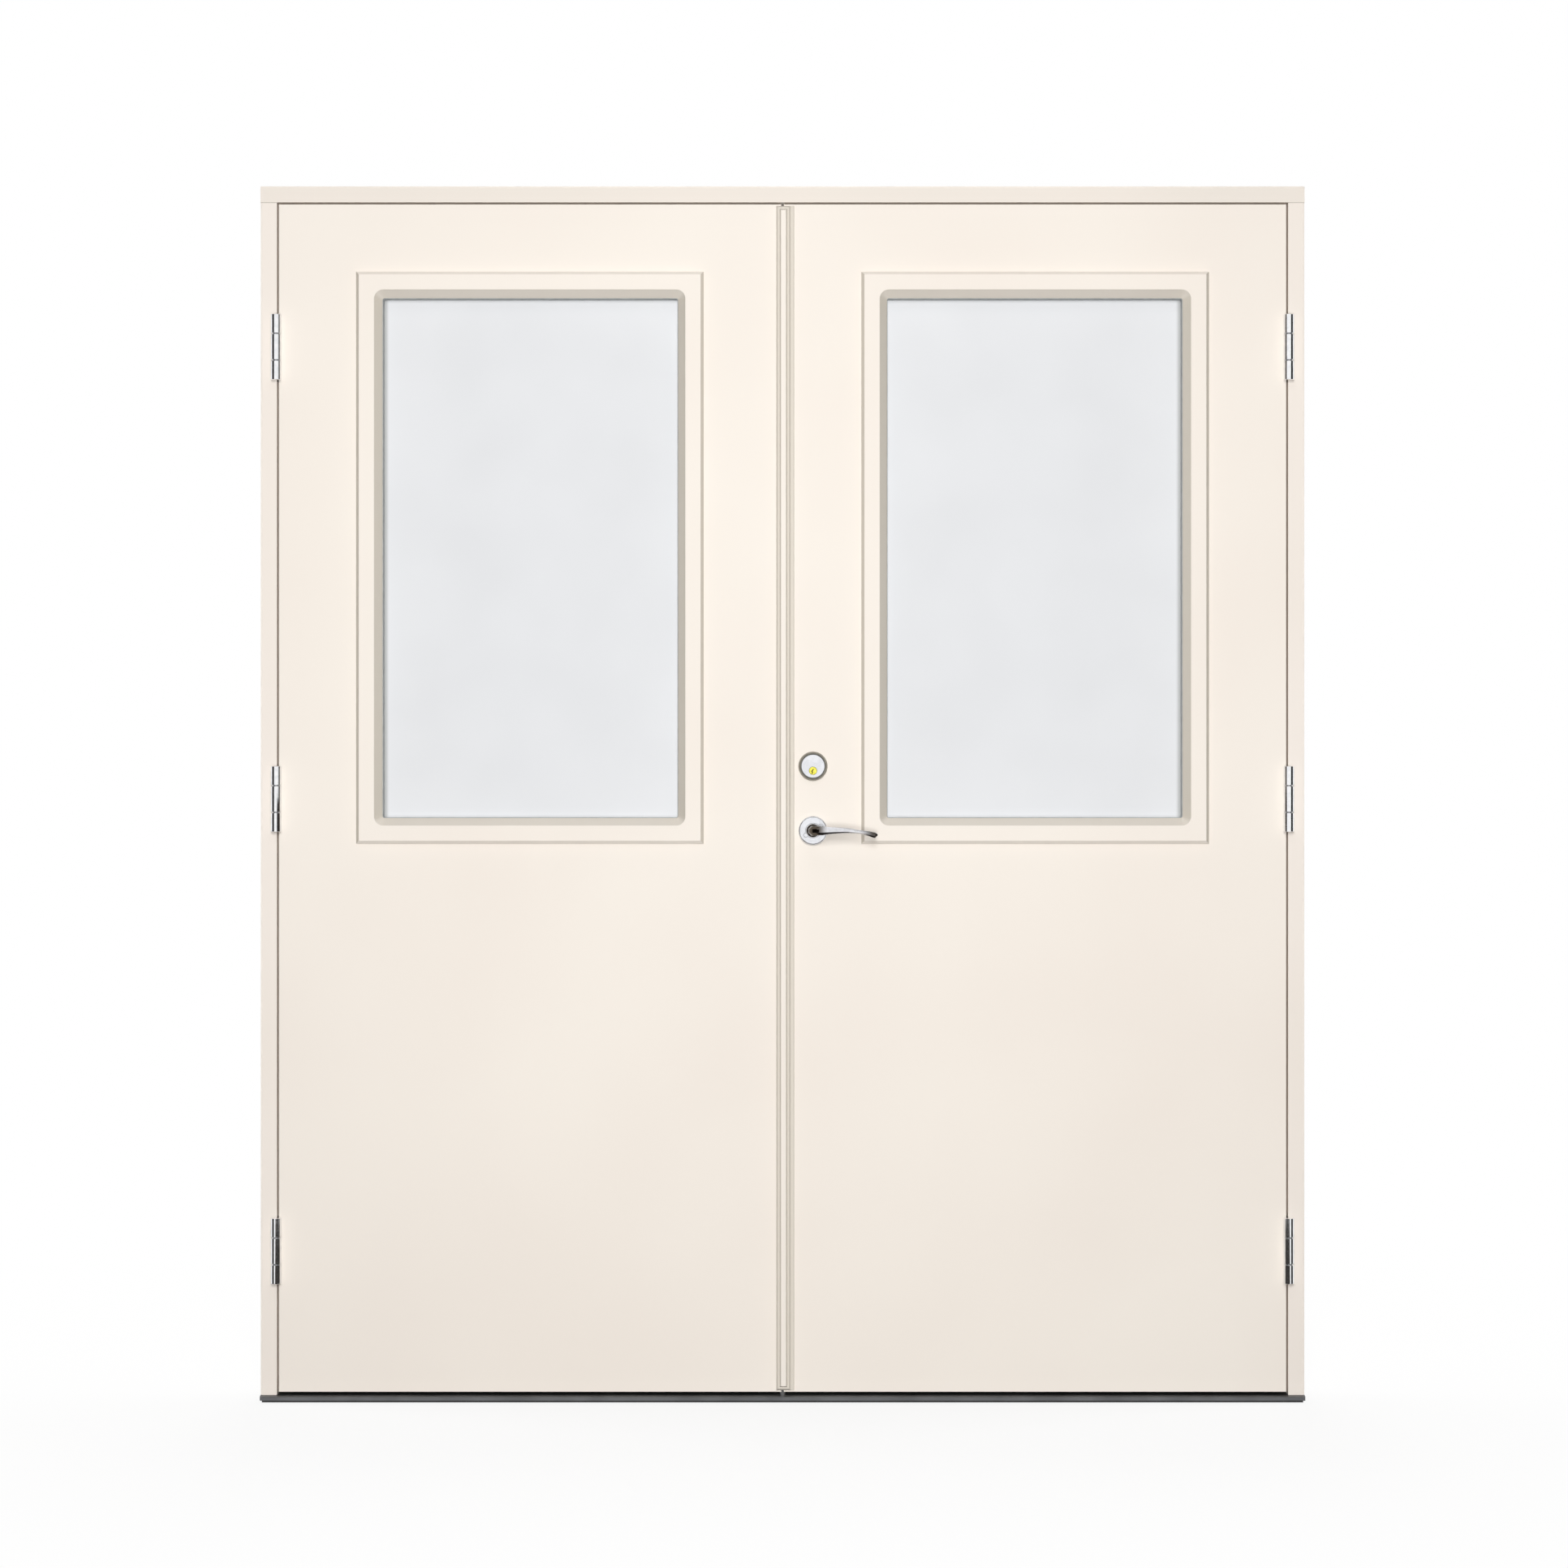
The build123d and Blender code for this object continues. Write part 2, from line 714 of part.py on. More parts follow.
# lever handles on one square spindle: an eight-sided bar leaves the rose, bends through a quarter
# turn, thins, droops and flares out to a pointed end
# (distance from the spindle, height, depth, rise of the middle)
grip_sections = (
    (bend_radius, 15.0, 14.0, 0.3),
    (34.0, 11.8, 11.4, 0.6),
    (52.0, 9.9, 10.0, 0.8),
    (70.7, 7.6, 8.6, -1.0),
    (84.3, 6.8, 8.0, -2.6),
    (104.5, 10.0, 8.6, -7.2),
    (lever_length, 1.6, 3.0, -6.6),
)


def bar_sections(face_y, out):
    """Each section's middle, the way that the bar runs there, and its height and depth."""
    neck = 2 * neck_radius
    bend_start = lever_reach - bend_radius
    for away in (0, bend_start):
        yield Vector(lock_x, face_y + out * away, lever_z), Vector(0, out, 0), neck, neck
    end_height, end_depth, end_rise = grip_sections[0][1:]
    for step in range(1, bend_steps):
        part = step / bend_steps
        angle = part * pi / 2
        across = bend_radius * (1 - cos(angle))
        away = bend_start + bend_radius * sin(angle)
        middle = Vector(lock_x + across, face_y + out * away, lever_z + part * end_rise)
        height = neck + part * (end_height - neck)
        depth = neck + part * (end_depth - neck)
        yield middle, Vector(sin(angle), out * cos(angle), 0), height, depth
    for reach, height, depth, rise in grip_sections:
        middle = Vector(lock_x + reach, face_y + out * lever_reach, lever_z + rise)
        yield middle, Vector(1, 0, 0), height, depth


for label, face_y, out in (("outer_lever", leaf_front, -1), ("inner_lever", leaf_back, 1)):
    face = elevation(face_y) if out < 0 else inside_face(face_y)
    hub = (lock_x if out < 0 else -lock_x, lever_z)
    with BuildPart() as lever:
        for middle, heading, height, depth in bar_sections(face_y, out):
            across = Vector(0, 0, 1).cross(heading)
            with BuildSketch(Plane(origin=middle, x_dir=across, z_dir=heading)) as section:
                Rectangle(depth, height)
                chamfer(section.vertices(), min(depth, height) * lever_corner)
        loft(ruled=True)
        with BuildSketch(face.offset(rose_thickness + collar_play)):
            with Locations(hub):
                Circle(collar_radius)
        extrude(amount=collar_length)
        with BuildSketch(face):
            with Locations(hub):
                Rectangle(spindle_width, spindle_width)
        extrude(amount=spindle_grip, mode=Mode.SUBTRACT)
    save(lever, label)

with BuildPart() as spindle:
    with BuildSketch(elevation(leaf_front - spindle_grip)):
        with Locations((lock_x, lever_z)):
            Rectangle(spindle_width, spindle_width)
    extrude(amount=-(leaf_thickness + 2 * spindle_grip))
save(spindle, "lever_spindle")
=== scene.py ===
from math import cos, pi, radians

import bmesh
import bpy
from mathutils import Matrix, Vector


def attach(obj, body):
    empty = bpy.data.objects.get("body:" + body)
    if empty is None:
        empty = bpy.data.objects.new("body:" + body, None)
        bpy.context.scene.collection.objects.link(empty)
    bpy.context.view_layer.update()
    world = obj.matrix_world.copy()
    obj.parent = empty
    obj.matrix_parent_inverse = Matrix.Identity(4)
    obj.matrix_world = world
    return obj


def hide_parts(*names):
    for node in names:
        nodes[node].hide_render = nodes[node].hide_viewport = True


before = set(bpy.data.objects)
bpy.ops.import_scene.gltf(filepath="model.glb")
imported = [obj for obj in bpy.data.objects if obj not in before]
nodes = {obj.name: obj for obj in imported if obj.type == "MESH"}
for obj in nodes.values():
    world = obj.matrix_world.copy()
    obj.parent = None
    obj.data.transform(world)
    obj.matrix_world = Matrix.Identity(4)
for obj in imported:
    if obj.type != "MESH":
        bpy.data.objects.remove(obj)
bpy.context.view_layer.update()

scene = bpy.context.scene
sides = (("left", -1), ("right", 1))
print("frame loaded:", len(nodes), "nodes")


def hexColour(code):
    # sRGB hex to the linear colour that Blender's sockets take
    channels = []
    for start in (0, 2, 4):
        value = int(code[start:start + 2], 16) / 255
        channels.append(value / 12.92 if value <= 0.04045 else ((value + 0.055) / 1.055) ** 2.4)
    return (*channels, 1.0)


def addNode(tree, kind, settings=None, links=None):
    # settings name a property of the node or an input socket, links name input sockets
    node = tree.nodes.new(kind)
    for key, value in (settings or {}).items():
        if not isinstance(key, int) and hasattr(node, key):
            setattr(node, key, value)
        else:
            node.inputs[key].default_value = value
    for key, source in (links or {}).items():
        tree.links.new(source, node.inputs[key])
    return node


def emptyTree(owner):
    # node tree of a material or the world, with nothing in it
    owner.use_nodes = True
    owner.node_tree.nodes.clear()
    return owner.node_tree


# what every finish shares: how soft its noises are and which part of them shows
pattern = {
    "cloudDetail": 1.5, "cloudSpan": (0.35, 0.65), "grainDetail": 2.0, "grainSpan": (0.3, 0.7),
    "peelDetail": 1.0, "grainShare": 0.35, "shelterSpan": (0.6, 0.96), "bump": 0.5, "edge": 0.2,
}


def newMaterial(name, look):
    # cloud, grain and peel are noise sizes in millimetres, drawn stretches the grain along an axis
    material = bpy.data.materials.new(name)
    tree = emptyTree(material)
    place = addNode(tree, "ShaderNodeTexCoord").outputs["Object"]
    cloud = addNode(
        tree, "ShaderNodeTexNoise",
        {"Scale": 1000 / look["cloud"], "Detail": pattern["cloudDetail"]}, {"Vector": place},
    )
    start, end = pattern["cloudSpan"]
    share = addNode(tree, "ShaderNodeMapRange", {1: start, 2: end}, {0: cloud.outputs["Fac"]})
    low, high = look["tones"]
    colour = addNode(
        tree, "ShaderNodeMix", {"data_type": "RGBA", 6: hexColour(low), 7: hexColour(high)},
        {0: share.outputs[0]},
    ).outputs[2]
    if "recessShade" in look:
        # painted shade: the colour darkens towards a dark tone where the surface is cut in, as
        # shade falls there
        reach, depth = look["recessShade"]
        shelter = addNode(
            tree, "ShaderNodeAmbientOcclusion", {"samples": 8, "Distance": reach / 1000}
        )
        start, end = pattern["shelterSpan"]
        shade = addNode(
            tree, "ShaderNodeMapRange", {1: start, 2: end, 3: 1.0, 4: 0.0},
            {0: shelter.outputs["AO"]},
        )
        colour = addNode(
            tree, "ShaderNodeMix", {"data_type": "RGBA", 7: hexColour(depth)},
            {0: shade.outputs[0], 6: colour},
        ).outputs[2]
    drawn = addNode(
        tree, "ShaderNodeMapping", {"Scale": tuple(1 / s for s in look.get("drawn", (1, 1, 1)))},
        {"Vector": place},
    )
    grain = addNode(
        tree, "ShaderNodeTexNoise",
        {"Scale": 1000 / look["grain"], "Detail": pattern["grainDetail"]},
        {"Vector": drawn.outputs[0]},
    )
    start, end = pattern["grainSpan"]
    smooth, dull = look["gloss"]
    gloss = addNode(
        tree, "ShaderNodeMapRange", {1: start, 2: end, 3: smooth, 4: dull},
        {0: grain.outputs["Fac"]},
    )
    height = grain.outputs["Fac"]
    if "peel" in look:
        peel = addNode(
            tree, "ShaderNodeTexNoise",
            {"Scale": 1000 / look["peel"], "Detail": pattern["peelDetail"]}, {"Vector": place},
        )
        height = addNode(
            tree, "ShaderNodeMath", {"operation": "MULTIPLY_ADD", 1: pattern["grainShare"]},
            {0: height, 2: peel.outputs["Fac"]},
        ).outputs[0]
    edge = addNode(
        tree, "ShaderNodeBevel",
        {"samples": 4, "Radius": look.get("edge", pattern["edge"]) / 1000},
    )
    relief = addNode(
        tree, "ShaderNodeBump", {"Strength": pattern["bump"], "Distance": look["relief"] / 1000},
        {"Height": height, "Normal": edge.outputs[0]},
    )
    shader = addNode(
        tree, "ShaderNodeBsdfPrincipled", look["shader"],
        {"Base Color": colour, "Roughness": gloss.outputs[0], "Normal": relief.outputs[0]},
    )
    addNode(tree, "ShaderNodeOutputMaterial", links={"Surface": shader.outputs[0]})
    return material


def tint(material, share, tone):
    # lays a second tone over the material's own colour where the share is 1
    tree = material.node_tree
    socket = next(n for n in tree.nodes if n.type == "BSDF_PRINCIPLED").inputs["Base Color"]
    own = socket.links[0].from_socket
    mix = addNode(
        tree, "ShaderNodeMix", {"data_type": "RGBA", 7: hexColour(tone)}, {0: share, 6: own}
    )
    tree.links.new(mix.outputs[2], socket)


def objectAxes(tree, kind="Object"):
    # X, Y and Z of the object's own place or normal
    source = addNode(tree, "ShaderNodeTexCoord").outputs[kind]
    return addNode(tree, "ShaderNodeSeparateXYZ", links={0: source}).outputs


# satin waterborne paint sprayed on primed timber: even cream, fine orange peel,
# edges softened by the coats
sprayed = {
    "tones": ("F6EDE3", "F9F1E7"), "cloud": 420, "grain": 5, "drawn": (1, 1, 26), "peel": 2.4,
    "gloss": (0.38, 0.48), "relief": 0.05, "edge": 0.7, "shader": {"IOR": 1.5},
}
leafPaint = newMaterial("cream satin paint", sprayed)


def slopeShadedPaint(name, slope):
    # painted shade: the sprayed paint, laid a tone greyer between the front and back lands of the
    # piece, where its slopes and steps face away from the light
    material = newMaterial(name, sprayed)
    tree = material.node_tree
    axes = objectAxes(tree)
    middle = (slope["front"] + slope["back"]) / 2000
    land = (slope["back"] - slope["front"]) / 2000
    offset = addNode(
        tree, "ShaderNodeMath", {"operation": "SUBTRACT", 1: middle}, {0: axes["Y"]}
    )
    depth = addNode(tree, "ShaderNodeMath", {"operation": "ABSOLUTE"}, {0: offset.outputs[0]})
    share = addNode(
        tree, "ShaderNodeMapRange",
        {1: land - slope["fade"] / 1000, 2: land - slope["landPlay"] / 1000, 3: 1.0, 4: 0.0},
        {0: depth.outputs[0]},
    ).outputs[0]
    if "middleHeight" in slope:
        # painted light: level slopes keep less of the painted shade, as if lit from above, those at
        # the rim of the frame most of all
        lean = addNode(
            tree, "ShaderNodeMath", {"operation": "ABSOLUTE"},
            {0: objectAxes(tree, "Normal")["Z"]},
        )
        height = addNode(
            tree, "ShaderNodeMath",
            {"operation": "SUBTRACT", 1: slope["middleHeight"] / 1000}, {0: axes["Z"]},
        )
        away = addNode(
            tree, "ShaderNodeMath", {"operation": "ABSOLUTE"}, {0: height.outputs[0]}
        )
        start, end = slope["rim"]
        kept = addNode(
            tree, "ShaderNodeMapRange",
            {1: start / 1000, 2: end / 1000, 3: slope["levelShare"], 4: slope["rimShare"]},
            {0: away.outputs[0]},
        )
        start, end = slope["leanSpan"]
        level = addNode(
            tree, "ShaderNodeMapRange", {1: start, 2: end, 3: 1.0},
            {0: lean.outputs[0], 4: kept.outputs[0]},
        )
        share = addNode(
            tree, "ShaderNodeMath", {"operation": "MULTIPLY"}, {0: share, 1: level.outputs[0]}
        ).outputs[0]
    # the greyer tone laid here is painted shade
    tint(material, share, slope["tone"])
    return material


# glazing frames: their sloping faces are painted a tone greyer,
# as painted shade where they turn away from the light
beadShadedPaint = slopeShadedPaint("cream glazing frame paint, painted slope shade", {
    "front": -60.5, "back": 19.5, "fade": 0.6, "landPlay": 0.1, "tone": "D6CEC1",
    "middleHeight": 1444.3, "rim": (480, 482), "levelShare": 0.6, "rimShare": 0.0,
    "leanSpan": (0.2, 0.55),
})
# the cover strip gets the same painted shade below its crown, so its steps stand out beside it
stripShadedPaint = slopeShadedPaint("cream cover strip paint, painted step shade", {
    "front": -61.5, "back": 41.5, "fade": 0.6, "landPlay": 0.1, "tone": "DED6CA",
})
# the frame left the same line: a shade greyer, its strokes run with each member
jambPaint = newMaterial("cream frame paint, upright", {**sprayed, "tones": ("F4EBE1", "F7EEE5")})
# painted shade: the level head is toned darker than the uprights, to take down the extra light the
# lamps throw on it
headShadedPaint = newMaterial("cream frame paint, level, painted darker", {
    **sprayed, "tones": ("EEE6DC", "F2E9DF"), "drawn": (26, 1, 1),
})
# the filled joint where each jamb butts under the head shows as a hairline in the paint
joint = {"headBottom": 2052.0, "width": 1.1, "tone": "C9C1B6"}
tree = jambPaint.node_tree
filled = addNode(
    tree, "ShaderNodeMath",
    {"operation": "GREATER_THAN", 1: (joint["headBottom"] - joint["width"]) / 1000},
    {0: objectAxes(tree)["Z"]},
)
tint(jambPaint, filled.outputs[0], joint["tone"])
# extruded bar with a grey anodised film: die lines run with it and dull its sheen
sillMetal = newMaterial("anodised aluminium", {
    "tones": ("717274", "7F8082"), "cloud": 60, "grain": 0.9, "drawn": (60, 1, 1),
    "gloss": (0.40, 0.52), "relief": 0.03, "edge": 0.4, "shader": {"Metallic": 0.85},
})
# extruded EPDM: matte black, powdery from the talc it was coiled in
sealRubber = newMaterial("black EPDM rubber", {
    "tones": ("161615", "242422"), "cloud": 12, "grain": 0.8, "gloss": (0.7, 0.85),
    "relief": 0.04, "shader": {"IOR": 1.52},
})
# moulded corner pads of a grey green sponge rubber: no shine at all, pitted skin
padRubber = newMaterial("grey green sponge rubber", {
    "tones": ("35382F", "454940"), "cloud": 9, "grain": 1.4, "gloss": (0.82, 0.92),
    "relief": 0.15, "shader": {"IOR": 1.5},
})
# grey glazing strip pressed in beside the pane: smooth and slightly soft
liningRubber = newMaterial("grey glazing rubber", {
    "tones": ("A9ACAC", "B6B9B9"), "cloud": 14, "grain": 1.0, "gloss": (0.6, 0.75),
    "relief": 0.03, "shader": {"IOR": 1.5},
})
# brass buffed, then nickel and chrome plated: a mirror with hairlines left by the mop
chrome = newMaterial("polished chrome", {
    "tones": ("EDEEF0", "F7F7F8"), "cloud": 9, "grain": 0.6, "drawn": (1, 1, 9),
    "gloss": (0.06, 0.11), "relief": 0.004, "edge": 0.3, "shader": {"Metallic": 1.0},
})
# the same plating on a brushed face: reflections melt into a pale cool field
satinChrome = newMaterial("satin chrome", {
    "tones": ("E8E9ED", "F1F2F6"), "cloud": 11, "grain": 0.5, "drawn": (6, 1, 1),
    "gloss": (0.13, 0.2), "relief": 0.005, "edge": 0.25, "shader": {"Metallic": 1.0},
})
# die-cast ring, tumbled and nickel plated, grain just visible: its olive grey is partly the
# nickel's own dull tone and partly a painted reflection of the shaded cream leaf
ringMetal = newMaterial("tumbled nickel", {
    "tones": ("96938A", "A5A298"), "cloud": 5, "grain": 0.7, "gloss": (0.34, 0.46),
    "relief": 0.012, "shader": {"Metallic": 0.8},
})
# stainless strip brushed along its length: fine upright lines, broad highlight
steel = newMaterial("brushed stainless", {
    "tones": ("B4B5B4", "CBCBC9"), "cloud": 30, "grain": 0.5, "drawn": (1, 1, 50),
    "gloss": (0.24, 0.38), "relief": 0.01, "edge": 0.3, "shader": {"Metallic": 1.0},
})
# bare turned brass of the key plug: bright yellow, dulled in spots where keys rub
brass = newMaterial("bare brass", {
    "tones": ("F7EC4E", "FFF873"), "cloud": 1.5, "grain": 0.4, "gloss": (0.18, 0.32),
    # painted shade: the plug darkens to a dark brown where it is cut in, as in its key slot
    "relief": 0.01, "recessShade": (4, "2E2810"), "shader": {"Metallic": 0.55},
})
# moulded cap: plain cream plastic with a soft shine
capPlastic = newMaterial("cream cap plastic", {
    "tones": ("EDE4D8", "F1E9DE"), "cloud": 6, "grain": 0.9, "gloss": (0.35, 0.45),
    "relief": 0.01, "shader": {"IOR": 1.46},
})
print("plain materials done")

# float glass with a white film laminated behind: milky and even, no mirror image;
# painted shade greys it towards its outer upright edge, where the reveal shades it
pane = {
    "tones": ("E5E6E8", "E8E9EB"), "cloud": 160, "grain": 1.1, "gloss": (0.45, 0.58),
    "relief": 0.008, "shader": {"IOR": 1.52, "Specular IOR Level": 0.35},
    "outerEdge": 684.75, "rimShadeWidth": 11, "rimShadeTone": "B3B4B3",
}
opal = newMaterial("opal glass", pane)
tree = opal.node_tree
away = addNode(tree, "ShaderNodeMath", {"operation": "ABSOLUTE"}, {0: objectAxes(tree)["X"]})
rim = addNode(
    tree, "ShaderNodeMapRange",
    {"interpolation_type": "SMOOTHERSTEP", 1: (pane["outerEdge"] - pane["rimShadeWidth"]) / 1000,
     2: pane["outerEdge"] / 1000, 3: 0.0, 4: 1.0},
    {0: away.outputs[0]},
)
# painted shade along the outer upright edge of each pane
tint(opal, rim.outputs[0], pane["rimShadeTone"])


def dress(material, *names):
    for name in names:
        for materialSlot in nodes[name].material_slots:
            materialSlot.material = material


hingePlaces = ("bottom", "middle", "top")
dress(jambPaint, "left_jamb", "right_jamb")
dress(headShadedPaint, "head_jamb")
dress(sillMetal, "sill")
dress(sealRubber, "sill_underlay", "left_frame_seal", "right_frame_seal", "head_seal", "sill_seal")
dress(padRubber, "sill_corner_pads")
dress(steel, "bolt_keepers", "strike_plate", "flush_bolts", "lock_faceplate", "lever_spindle")
dress(stripShadedPaint, "astragal")
for side, sign in sides:
    dress(leafPaint, f"{side}_panel")
    dress(beadShadedPaint, f"{side}_outer_glazing_frame", f"{side}_inner_glazing_frame")
    dress(opal, f"{side}_glass_unit")
    for height in hingePlaces:
        dress(chrome, f"{side}_{height}_hinge_frame_half", f"{side}_{height}_hinge_leaf_half")
dress(ringMetal, "cylinder_ring")
dress(satinChrome, "lock_cylinder", "outer_rose", "inner_rose", "turn_rose", "thumb_turn")
dress(chrome, "outer_lever", "inner_lever")
dress(brass, "cylinder_plug")
print("nodes dressed")


# the pieces below are modelled in millimetres and brought to metres when they are finished
def newVerts(bm, before):
    return [v for v in bm.verts if v not in before]


def onlyVerts(geometry):
    return [g for g in geometry if isinstance(g, bmesh.types.BMVert)]


def turn(bm, profile, matrix, steps=64, closed=False):
    # spins (radius, height) points round Z, then places the shape by the matrix
    before = set(bm.verts)
    points = [bm.verts.new((r, 0, z)) for r, z in profile]
    edges = [bm.edges.new(pair) for pair in zip(points, points[1:])]
    if closed:
        edges.append(bm.edges.new((points[-1], points[0])))
    bmesh.ops.spin(
        bm, geom=points + edges, cent=(0, 0, 0), axis=(0, 0, 1), dvec=(0, 0, 0),
        angle=2 * pi, steps=steps, use_merge=True,
    )
    bmesh.ops.remove_doubles(bm, verts=newVerts(bm, before), dist=0.001)
    bmesh.ops.transform(bm, matrix=matrix, verts=newVerts(bm, before))


def mergeFans(bm, flat=0.5):
    # each flat end becomes one face, so that a cut through it leaves no slivers
    bmesh.ops.dissolve_limit(bm, angle_limit=radians(flat), verts=bm.verts, edges=bm.edges)


def block(bm, size, matrix, edge=0.0):
    before = set(bm.verts)
    bmesh.ops.create_cube(bm, size=1, matrix=matrix @ Matrix.Diagonal((*size, 1)))
    if edge:
        made = set(newVerts(bm, before))
        bmesh.ops.bevel(
            bm, geom=[e for e in bm.edges if e.verts[0] in made], offset=edge,
            offset_type="OFFSET", affect="EDGES", segments=2, profile=0.5, material=-1,
        )


# countersunk head: a grid whose rim is rounded and whose middle row and column, out to
# crossReach of the radius, are sunk and narrowed to make the cross
screw = {
    "grid": 5, "rimFrom": 0.9, "inner": 0.85, "middlePlay": 0.01, "crossReach": 0.6,
    "crossDepth": 0.9, "crossTaper": 0.8, "skirt": 1.2,
}


def screwHead(bm, radius, place):
    # the head faces +Z before the matrix places it
    before = set(bm.verts)
    bmesh.ops.create_grid(bm, x_segments=screw["grid"], y_segments=screw["grid"], size=1)
    made = newVerts(bm, before)
    for v in made:
        onRim = max(abs(v.co.x), abs(v.co.y)) > screw["rimFrom"]
        v.co = v.co.normalized() * radius if onRim else v.co * radius * screw["inner"]
    own = set(made)
    cross = []
    for f in bm.faces:
        m = f.calc_center_median()
        central = min(abs(m.x), abs(m.y)) < screw["middlePlay"]
        if f.verts[0] in own and central and m.length < radius * screw["crossReach"]:
            cross.append(f)
    rim = [e for e in bm.edges if e.is_boundary and e.verts[0] in own]
    sunk = onlyVerts(bmesh.ops.extrude_face_region(bm, geom=cross)["geom"])
    bmesh.ops.translate(bm, vec=(0, 0, -screw["crossDepth"]), verts=sunk)
    bmesh.ops.scale(bm, vec=(screw["crossTaper"], screw["crossTaper"], 1), verts=sunk)
    bmesh.ops.delete(bm, geom=cross, context="FACES")
    skirt = bmesh.ops.extrude_edge_only(bm, edges=rim)["geom"]
    bmesh.ops.translate(bm, vec=(0, 0, -screw["skirt"]), verts=onlyVerts(skirt))
    bottom = [g for g in skirt if isinstance(g, bmesh.types.BMEdge) and g.is_boundary]
    bmesh.ops.edgeloop_fill(bm, edges=bottom)
    bmesh.ops.transform(bm, matrix=place, verts=newVerts(bm, before))


def facing(point, normal):
    aim = Vector(normal).to_track_quat("Z", "Y").to_matrix().to_4x4()
    return Matrix.Translation(point) @ aim


def newMesh(bm, name):
    mesh = bpy.data.meshes.new(name)
    bm.to_mesh(mesh)
    bm.free()
    return mesh


def newObject(name, data):
    made = bpy.data.objects.new(name, data)
    scene.collection.objects.link(made)
    return made


def softShade(mesh, sharp):
    mesh.shade_smooth()
    mesh.set_sharp_from_angle(angle=radians(sharp))


def makePiece(bm, name, material, body, replaced=(), sharp=35):
    bmesh.ops.recalc_face_normals(bm, faces=bm.faces)
    bmesh.ops.scale(bm, vec=(0.001, 0.001, 0.001), verts=bm.verts)
    mesh = newMesh(bm, name)
    softShade(mesh, sharp)
    mesh.materials.append(material)
    piece = newObject(name, mesh)
    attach(piece, body)
    if replaced:
        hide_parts(*replaced)
    return piece


# butt hinges: knuckles turned round a pin with a small V between them,
# plates let into jamb and leaf
hinge = {
    "axisX": 864.1, "axisY": -62.5, "heights": (261.0, 1032.0, 1803.0), "radius": 9.0,
    "steps": 72, "pinRadius": 5.0, "pinPlay": 0.05, "pinSteps": 32,
    "middle": 45.0, "outer": 33.0, "gap": 0.5, "neckTrim": 2.0,
    "groove": (1.7, 0.9), "end": (0.7, 0.5),  # inward and along the pin
    "plate": (2.5, 40.0, 112.0), "plateEdge": 0.3, "framePlateX": 864.5, "leafPlateX": 861.5,
    "framePlateY": -52.5, "leafPlateY": -51.5,
    # each screw's height off the middle, and to which side of the line it is staggered
    "screwRadius": 3.8, "screwProud": 0.15, "screwRows": ((-42, -1), (0, 1), (42, -1)),
    "screwLine": 0.58, "screwStagger": 0.14,
}


def knuckle(bm, low, high, lowCut, highCut, bore, centre):
    r = hinge["radius"]
    profile = [
        (bore, low), (r - lowCut[0], low), (r, low + lowCut[1]), (r, high - highCut[1]),
        (r - highCut[0], high), (bore, high),
    ]
    turn(bm, profile, Matrix.Translation(centre), hinge["steps"], bore > 0)


for side, sign in sides:
    for height, z in zip(hingePlaces, hinge["heights"]):
        thick, deep = hinge["plate"][:2]
        centre = Vector((sign * hinge["axisX"], hinge["axisY"], z))
        inner = hinge["middle"] / 2
        start = inner + hinge["gap"]
        end = start + hinge["outer"]
        pinRadius = hinge["pinRadius"]
        for half, body, outward in (("frame", "frame", sign), ("leaf", f"{side}_leaf", -sign)):
            plateX, plateY = hinge[f"{half}PlateX"], hinge[f"{half}PlateY"]
            bm = bmesh.new()
            neckX = sign * plateX + outward * thick / 2
            neckDeep = plateY - hinge["axisY"]
            neckY = hinge["axisY"] + neckDeep / 2
            if half == "frame":
                knuckle(bm, start, end, hinge["groove"], hinge["end"], 0, centre)
                knuckle(bm, -end, -start, hinge["end"], hinge["groove"], 0, centre)
                for way in (-1, 1):
                    neck = Matrix.Translation((neckX, neckY, z + way * (start + end) / 2))
                    block(bm, (thick, neckDeep, hinge["outer"] - hinge["neckTrim"]), neck)
                pin = [(0, -start), (pinRadius, -start), (pinRadius, start), (0, start)]
                turn(bm, pin, Matrix.Translation(centre), hinge["pinSteps"])
            else:
                bore = pinRadius + hinge["pinPlay"]
                knuckle(bm, -inner, inner, hinge["groove"], hinge["groove"], bore, centre)
                neck = Matrix.Translation((neckX, neckY, z))
                block(bm, (thick, neckDeep, hinge["middle"] - hinge["neckTrim"]), neck)
            plateMiddle = Matrix.Translation((neckX, plateY + deep / 2, z))
            block(bm, hinge["plate"], plateMiddle, hinge["plateEdge"])
            screwX = sign * plateX - outward * hinge["screwProud"]
            for row, way in hinge["screwRows"]:
                screwY = plateY + deep * (hinge["screwLine"] + hinge["screwStagger"] * way)
                spot = facing((screwX, screwY, z + row), (-outward, 0, 0))
                screwHead(bm, hinge["screwRadius"], spot)
            makePiece(
                bm, f"{side}-{height}-hinge-{half}", chrome, body,
                [f"{side}_{height}_hinge_{half}_half"],
            )
print("hinges done")

